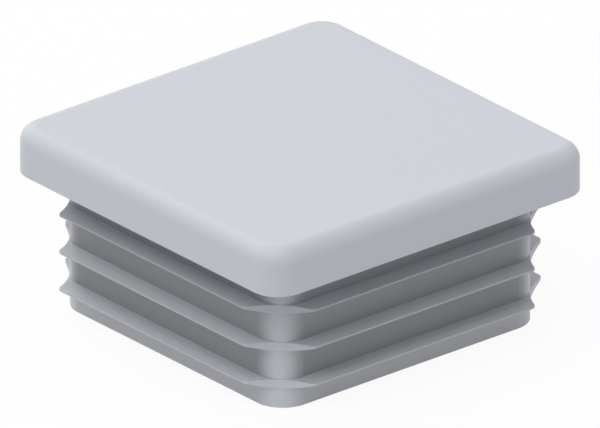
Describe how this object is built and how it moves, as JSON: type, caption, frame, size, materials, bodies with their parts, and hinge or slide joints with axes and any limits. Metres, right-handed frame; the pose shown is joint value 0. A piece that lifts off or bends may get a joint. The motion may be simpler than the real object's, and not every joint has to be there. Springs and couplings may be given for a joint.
{
  "type": "square tube end cap",
  "caption": "Moulded plastic push-in cap that closes a square tube: flat head with rounded edges, and a hollow square plug ringed by gripping lamellae with scooped corners.",
  "frame": {"origin": "middle of the plug's open rim, on the plane of the rim", "axes": "+Z along the tube's axis, out through the head; X and Y square to the four sides"},
  "size_m": [0.05, 0.05, 0.0235],
  "materials": {
    "moulded_plastic": "satin light grey polyethylene, as moulded"
  },
  "bodies": {
    "root": {"end_cap": "moulded_plastic"}
  },
  "joints": []
}
